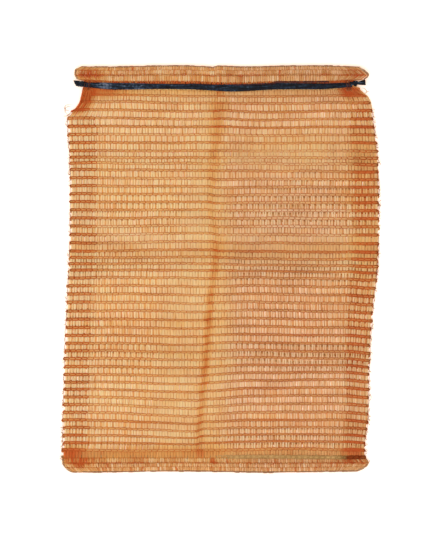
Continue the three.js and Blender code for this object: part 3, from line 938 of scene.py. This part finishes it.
def tapeStrip(name, base, out):
    def shape(t, side):
        x = blend(leftSide["pinch"] + tape["gap"], rightSide["pinch"] - tape["gap"], t)
        width, hang = float(through(tape["widths"], t)), sagAt(x) + tape["drop"]
        if out < 0:
            width = min(width + tape["backWider"], tape["backWidth"])
            hang = sagAt(x) * tape["backHang"] - tape["backUp"]
        rate, start = tape["wanderWave"]
        wander = tape["wander"] * math.sin(rate * t + start) * math.sin(math.pi * t)
        y = flip(sack["tapeLine"]) - lie["shift"] + wander + side * width / 2 - hang
        phase = math.pi * tape["pleats"] * side
        phase += sum(size * math.sin(rate * t + start) for size, rate, start in tape["pleatWaves"])
        return (x, y, base + out * (tape["pleat"] * math.sin(phase) - tape["edge"] * side ** 4))

    # the tone at each x: painted highlights, partly paler patches of the tape
    def paleAndHighlight(x):
        return sum(amount * bump(x, at, reach) for at, reach, amount in tape["paleAndHighlight"])

    return stripPiece(name, tape["grid"], shape, tape["thickness"], paleAndHighlight)


frontTape = tapeStrip("frontTape", tape["front"], 1.0)
backTape = tapeStrip("backTape", tape["back"], -1.0)
print("tapes done")

# a knot at each end: the two tapes tied together, with a flared tail
knot = {
    "centre": 4.4, "height": 3.5, "reach": (1.05, 0.85), "rise": 0.9, "cord": 2.1, "steps": 72, "round": 2,
    "tailRoot": 2.6, "tailThickness": 0.6, "tailPleat": 0.7, "tailWave": (3.4, 0.6), "tailLift": 1.0,
    "tailGrid": (10, 12), "leadLength": 8.0, "leadGrid": (8, 6),
}
# its line down the sack; the tail's length, widths, how far up its end is, slant of its cut; the lead's widths
knotTails = {
    "left": {"line": 26.9, "length": 7.2, "widths": (9.0, 8.0), "up": 0.9, "cut": 0.26, "flare": 0.6,
             "lead": (9.0, 7.0)},
    "right": {"line": 26.2, "length": 12.6, "widths": (3.4, 8.4), "up": 1.5, "cut": -0.04, "flare": 0.8,
              "lead": (5.0, 5.6)},
}


def knotLump(bm, centre, out):  # a trefoil path with a round section, flattened like a pulled knot
    path = bpy.data.curves.new("knotPath", "CURVE")
    path.dimensions = "3D"
    path.bevel_depth = knot["cord"]
    path.bevel_resolution = knot["round"]
    spline = path.splines.new("POLY")
    spline.points.add(knot["steps"] - 1)
    spline.use_cyclic_u = True
    wide, tall = knot["reach"]
    for k, point in enumerate(spline.points):
        turn = 2.0 * math.pi * k / knot["steps"]
        x = math.sin(turn) + 2.0 * math.sin(2.0 * turn)
        y = math.cos(turn) - 2.0 * math.cos(2.0 * turn)
        point.co = (out * x * wide, y * tall, -math.sin(3.0 * turn) * knot["rise"], 1.0)
    holder = addObject("knotPath", path)
    lump = bpy.data.meshes.new_from_object(holder.evaluated_get(bpy.context.evaluated_depsgraph_get()))
    bpy.data.objects.remove(holder)
    first = len(bm.verts)
    bm.from_mesh(lump)
    bm.verts.ensure_lookup_table()
    bmesh.ops.translate(bm, vec=centre, verts=bm.verts[first:])
    bpy.data.meshes.remove(lump)
    bpy.data.curves.remove(path)


def knotPiece(name, side, out, tail):
    centreX, centreY = side["pinch"] + out * knot["centre"], flip(tail["line"])
    rate, start = knot["tailWave"]

    def tailShape(t, across):
        x = centreX + out * (knot["tailRoot"] + tail["length"] * t * (1.0 + tail["cut"] * across * t))
        y = centreY + tail["up"] * t + across * blend(*tail["widths"], t ** tail["flare"]) / 2
        pleat = knot["tailPleat"] * math.cos(rate * across + start)
        return (x, y, knot["height"] + knot["tailLift"] * t + pleat * t)

    def leadShape(t, across, base):
        y = centreY - lie["shift"] * t + across * blend(*tail["lead"], t) / 2
        z = blend(knot["height"], base, smoothStep(t, 0.0, 1.0))
        return (centreX - out * knot["leadLength"] * t, y, float(z))

    bm = bmesh.new()
    knotLump(bm, (centreX, centreY, knot["height"]), out)
    shapedStrip(bm, knot["tailGrid"], tailShape, knot["tailThickness"])
    for base in (tape["front"], tape["back"]):
        shapedStrip(bm, knot["leadGrid"], lambda t, across: leadShape(t, across, base), tape["thickness"])
    return newPiece(name, bm)


knotLeft = knotPiece("knotLeft", leftSide, -1.0, knotTails["left"])
knotRight = knotPiece("knotRight", rightSide, 1.0, knotTails["right"])
print("knots done")

# the closing cord in the fold of the bottom: a chain stitch of its own yarn
cord = {
    "line": 575.6, "pitch": 8.4, "length": 11.4, "footWidth": 2.0, "headWidth": 2.5, "tape": 0.7,
    "thickness": 0.5, "tilt": 0.3, "height": 3.5, "past": 1.2, "stray": 0.06, "seed": 31,
    "wave": 0.5, "waveLength": 37.0,
    "coreWidth": 4.6, "coreThickness": 0.4, "coreDrop": 0.35, "coreGrid": (220, 4), "coreTone": 1.05,
    "tones": ((-300, 0.55), (-205, 0.6), (-170, 1.0), (-40, 0.95), (10, 0.68), (170, 0.62), (186, 0.17),
              (300, 0.06)),  # by x
}
cordFrom = float(edgeLine(leftSide, cord["line"])) - cord["past"]
cordTo = float(edgeLine(rightSide, cord["line"])) + cord["past"]


def cordY(x):
    return flip(cord["line"]) - lie["shift"] + cord["wave"] * np.sin(x / cord["waveLength"])


def bottomCordPiece():
    random = np.random.default_rng(cord["seed"])
    half = cord["length"] / 2
    count = int(round((cordTo - cordFrom - cord["length"]) / cord["pitch"])) + 1
    middle = np.linspace(cordFrom + half, cordTo - half, count)
    stretch = 1.0 + draws(random, cord["stray"], count)
    forward, across, lift, quads = linkOffsets(cord, stretch, stretch[::-1], np.ones(count))
    x = middle[:, None] + forward
    placed = np.stack([x, cordY(x) + across, np.broadcast_to(cord["height"] + lift, x.shape)], axis=-1)
    return joinCopies("bottomCord", quads, placed, levelAt(cord["tones"], x))


def coreShape(t, side):
    x = blend(cordFrom, cordTo, t)
    return (x, float(cordY(x)) + side * cord["coreWidth"] / 2, cord["height"] - cord["coreDrop"])


bottomCord = bottomCordPiece()
cordCore = stripPiece("cordCore", cord["coreGrid"], coreShape, cord["coreThickness"],
                      lambda x: levelAt(cord["tones"], x) * cord["coreTone"])
print("bottom cord done")


def linear(r, g, b):  # a screen colour, 0 to 255, as the shader takes it
    return tuple(((c / 255 + 0.055) / 1.055) ** 2.4 if c > 10 else c / 255 / 12.92 for c in (r, g, b)) + (1.0,)


def setInputs(tree, node, inputs):  # an input is a value, or a socket to link
    for key, value in inputs.items():
        if isinstance(value, bpy.types.NodeSocket):
            tree.links.new(value, node.inputs[key])
        else:
            node.inputs[key].default_value = value
    return node


def addNode(tree, kind, inputs, **settings):
    node = tree.nodes.new("ShaderNode" + kind)
    for name, value in settings.items():
        setattr(node, name, value)
    return setInputs(tree, node, inputs)


def newMaterial(finish):
    material = bpy.data.materials.new(finish["name"])
    material.use_nodes = True
    tree = material.node_tree
    rough = {"Roughness": finish["roughness"], "Specular IOR Level": finish["specular"]}
    return material, tree, setInputs(tree, tree.nodes["Principled BSDF"], rough)


def attributeOf(tree, name):
    return addNode(tree, "Attribute", {}, attribute_name=name).outputs["Fac"]


def noiseOf(tree, scale, detail, stretch=(1.0, 1.0, 1.0)):
    place = addNode(tree, "TexCoord", {}).outputs["Object"]
    place = addNode(tree, "Mapping", {"Vector": place, "Scale": stretch}).outputs["Vector"]
    return addNode(tree, "TexNoise", {"Vector": place, "Scale": scale, "Detail": detail}).outputs["Fac"]


def addTo(tree, value, amount, base):  # value times amount plus base
    return addNode(tree, "Math", {0: value, 1: amount, 2: base}, operation="MULTIPLY_ADD").outputs[0]


def rampOf(tree, value, stops):
    ramp = addNode(tree, "ValToRGB", {"Fac": value})
    elements = ramp.color_ramp.elements
    while len(elements) < len(stops):
        elements.new(0.5)
    for element, (at, colour) in zip(elements, stops):
        element.position = at
        element.color = linear(*colour)
    return ramp.outputs["Color"]


# finish of the net: thin orange tape that lets light through, rosier in some patches and yellower in others
netFinish = {
    "name": "orangeNetTape",
    "plain": [(0.0, (254, 235, 183)), (0.27, (249, 207, 130)), (0.46, (239, 178, 97)), (0.62, (234, 145, 70)),
              (0.8, (229, 112, 45)), (1.0, (158, 70, 28))],
    "rosy": [(0.0, (253, 226, 187)), (0.27, (243, 200, 142)), (0.46, (228, 171, 105)), (0.62, (223, 138, 76)),
             (0.8, (222, 106, 49)), (1.0, (150, 66, 28))],
    "patchScale": 45.0, "patch": 0.3, "patchStretch": (0.3, 1.0, 1.0), "grainScale": 900.0, "grain": 0.14,
    "detail": 2.0, "centre": -0.22, "span": 1.3, "rosyScale": 90.0, "rosySpread": 1.4,
    "roughness": 0.5, "specular": 0.15, "through": 0.5,
}


def netMaterial(finish):
    material, tree, shader = newMaterial(finish)
    patch = noiseOf(tree, finish["patchScale"], finish["detail"], finish["patchStretch"])
    grain = noiseOf(tree, finish["grainScale"], finish["detail"])
    value = addTo(tree, patch, finish["patch"], attributeOf(tree, "tone"))
    value = addTo(tree, grain, finish["grain"], value)
    value = addTo(tree, value, 1.0 / finish["span"], finish["centre"] / finish["span"])
    share = noiseOf(tree, finish["rosyScale"], finish["detail"], finish["patchStretch"])
    share = addTo(tree, share, finish["rosySpread"], attributeOf(tree, "rosy"))
    share = addTo(tree, share, 1.0, -0.5 * finish["rosySpread"])
    plain, rosy = (rampOf(tree, value, finish[key]) for key in ("plain", "rosy"))
    mixed = addNode(tree, "Mix", {}, data_type="RGBA")
    colour = setInputs(tree, mixed, {"Factor": share, "A": plain, "B": rosy}).outputs["Result"]
    setInputs(tree, shader, {"Base Color": colour})
    glow = addNode(tree, "BsdfTranslucent", {"Color": colour})
    layered = {"Fac": finish["through"], 1: shader.outputs["BSDF"], 2: glow.outputs["BSDF"]}
    surface = addNode(tree, "MixShader", layered).outputs["Shader"]
    setInputs(tree, tree.nodes["Material Output"], {"Surface": surface})
    return material


# finishes of drawstring, cord and loose thread: yarn with fine streaks lengthwise, coloured by its tone
yarn = {"detail": 3.0, "streakStretch": (0.08, 1.0, 1.0), "bump": 0.25, "bumpDistance": 0.0003}
# on the drawstring the tone lifts the colour towards its palest stop for the painted highlights
tapeFinish = {"name": "navyDrawTape", "base": 0.5, "streak": 1.0,
              "stops": [(0.3, (12, 10, 13)), (0.52, (24, 25, 32)), (0.7, (33, 50, 65)),
                        (0.92, (104, 110, 124))],
              "streakScale": 700.0, "patchScale": 330.0, "patch": 0.75, "roughness": 0.55, "specular": 0.08}
cordFinish = {"name": "oliveCord", "base": 0.15, "streak": 0.3,
              "stops": [(0.12, (118, 30, 0)), (0.3, (124, 50, 12)), (0.45, (138, 100, 54)),
                        (0.75, (170, 130, 78)), (1.0, (206, 162, 106))],
              "streakScale": 900.0, "patchScale": 60.0, "patch": 0.3, "roughness": 0.6, "specular": 0.05}
looseThread = {"base": 0.1, "streak": 0.2, "streakScale": 500.0, "patchScale": 90.0, "patch": 0.4,
               "roughness": 0.6, "specular": 0.2}
threadFinish = {**looseThread, "name": "greyThread", "pieces": ("foldOutlines", "edgeLoops", "edgeWisps"),
                "stops": [(0.0, (206, 168, 128)), (0.5, (176, 132, 94)), (1.0, (140, 98, 68))]}
# the maroon thread also colours the dark strands that paint the shadow under the hem
overFinish = {**looseThread, "name": "maroonThreadAndShadow", "pieces": ("strandsOverTapeAndShadow",),
              "stops": [(0.0, (150, 78, 40)), (0.5, (104, 48, 30)), (1.0, (70, 30, 24))]}


def tapeMaterial(finish):
    material, tree, shader = newMaterial(finish)
    streak = noiseOf(tree, finish["streakScale"], yarn["detail"], yarn["streakStretch"])
    patch = noiseOf(tree, finish["patchScale"], yarn["detail"])
    value = addTo(tree, patch, finish["patch"], attributeOf(tree, "tone"))
    value = addTo(tree, streak, finish["streak"], value)
    value = addTo(tree, value, 1.0, finish["base"] - 0.5 * (finish["patch"] + finish["streak"]))
    ridges = {"Strength": yarn["bump"], "Distance": yarn["bumpDistance"], "Height": streak}
    normal = addNode(tree, "Bump", ridges).outputs["Normal"]
    setInputs(tree, shader, {"Base Color": rampOf(tree, value, finish["stops"]), "Normal": normal})
    return material


orangeNet = netMaterial(netFinish)
threads = {}
for finish in (threadFinish, overFinish):
    threads.update(dict.fromkeys(finish["pieces"], tapeMaterial(finish)))
for piece in netPieces:
    piece.data.materials.append(threads.get(piece.name, orangeNet))
    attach(piece, "root")
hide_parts("net_sack")

navyTape = tapeMaterial(tapeFinish)
for piece, node in ((frontTape, "drawstring_front"), (backTape, "drawstring_back"),
                    (knotLeft, "knot_left"), (knotRight, "knot_right")):
    piece.data.materials.append(navyTape)
    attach(piece, "root")
    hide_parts(node)

oliveCord = tapeMaterial(cordFinish)
for piece in (bottomCord, cordCore):
    piece.data.materials.append(oliveCord)
    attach(piece, "root")
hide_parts("bottom_cord")
print("finishes done")

# floor, light and camera
# the floor glows evenly in a warm orange: painted light that stands in for the warm light the net lets through
# onto the floor beneath it
floorFinish = {"name": "paleFloor", "roughness": 0.8, "specular": 0.0, "size": 8.0, "shade": (0.86, 0.82, 0.82),
               "glow": 0.45, "tint": (1.0, 0.64, 0.34)}
light = {"world": 1.0, "key": 22.0, "keySize": 1.6, "keyPlace": (-0.5, -1.2, 2.4)}
scene.view_settings.view_transform = "Standard"
bm = bmesh.new()
bmesh.ops.create_grid(bm, x_segments=2, y_segments=2, size=floorFinish["size"] / 2 / mm)
floor = newPiece("floor", bm)
floorMaterial, floorTree, floorShader = newMaterial(floorFinish)
setInputs(floorTree, floorShader, {
    "Base Color": (*floorFinish["shade"], 1.0), "Emission Color": (*floorFinish["tint"], 1.0),
    "Emission Strength": floorFinish["glow"],
})
floor.data.materials.append(floorMaterial)

world = bpy.data.worlds.new("studio")
world.use_nodes = True
white = {"Color": (1.0, 1.0, 1.0, 1.0), "Strength": light["world"]}
setInputs(world.node_tree, world.node_tree.nodes["Background"], white)
scene.world = world
keyData = bpy.data.lights.new("keyLight", "AREA")
keyData.energy = light["key"]
keyData.size = light["keySize"]
keyLight = addObject("keyLight", keyData)
keyLight.location = light["keyPlace"]
keyLight.rotation_euler = (-keyLight.location).to_track_quat("-Z", "Y").to_euler()

# in metres; tall is what the picture's height spans
view = {"height": 3.0, "tall": 0.7974, "centre": (-0.0081, -0.0018), "sensor": 36.0}
cameraData = bpy.data.cameras.new("camera")
cameraData.sensor_width = view["sensor"]
cameraData.lens = view["sensor"] * view["height"] / view["tall"]
camera = addObject("camera", cameraData)
camera.location = (*view["centre"], view["height"])
scene.camera = camera
print("stage set")
